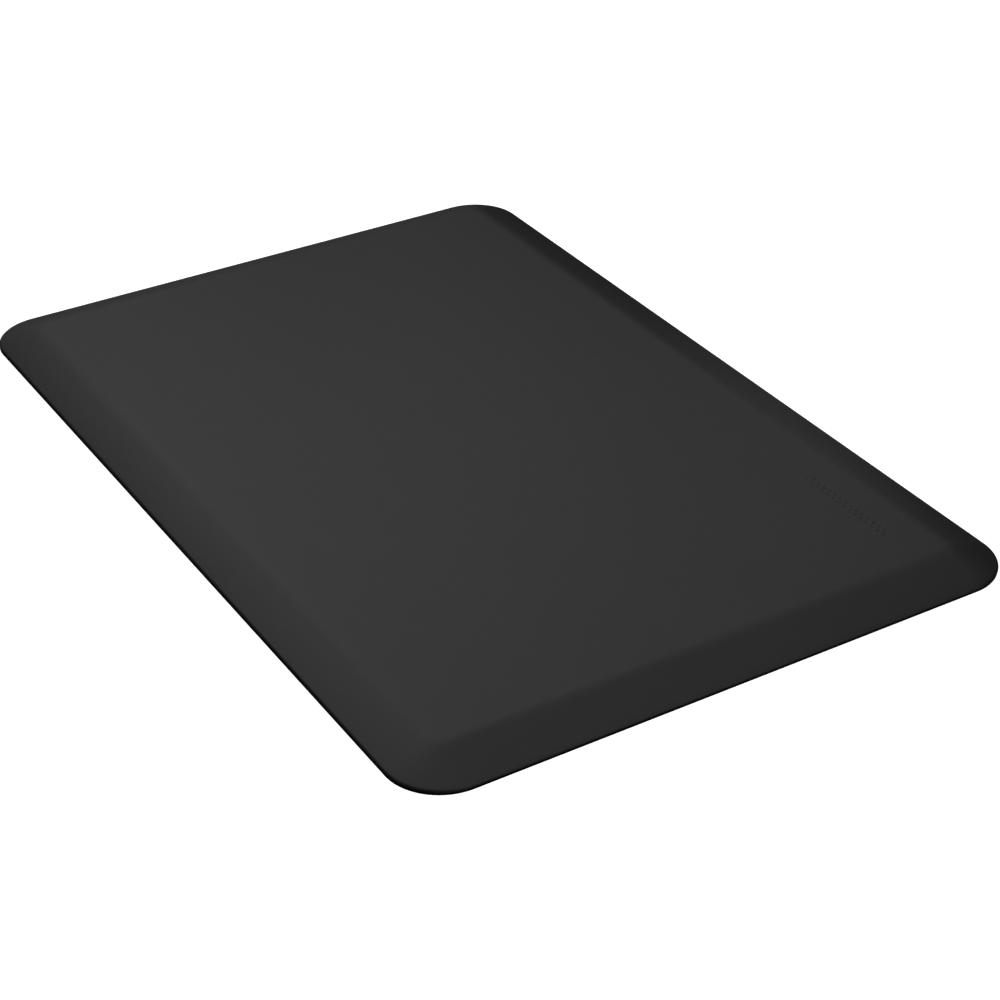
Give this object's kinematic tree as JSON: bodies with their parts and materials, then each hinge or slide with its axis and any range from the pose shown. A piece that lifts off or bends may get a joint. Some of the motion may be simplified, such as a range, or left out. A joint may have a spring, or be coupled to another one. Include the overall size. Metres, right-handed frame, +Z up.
{
  "type": "anti fatigue mat",
  "caption": "Low rectangular comfort mat with rounded corners, sloping edges and a non-slip underside, for standing on at a desk or counter.",
  "frame": {"origin": "centre of the underside, on the floor", "axes": "+Z up through the standing surface, +Y along the long side, +X along the short side towards the long edge beside the two short rows of dimples"},
  "size_m": [0.6096, 0.9144, 0.0191],
  "materials": {
    "cover_skin": "matt black moulded polyurethane skin with a very fine pebble grain",
    "foam": "charcoal closed-cell polyurethane foam",
    "base_sheet": "dense dull black non-slip polyurethane"
  },
  "bodies": {
    "root": {"top_cover": "cover_skin", "foam_core": "foam", "non_slip_base": "base_sheet"}
  },
  "joints": []
}
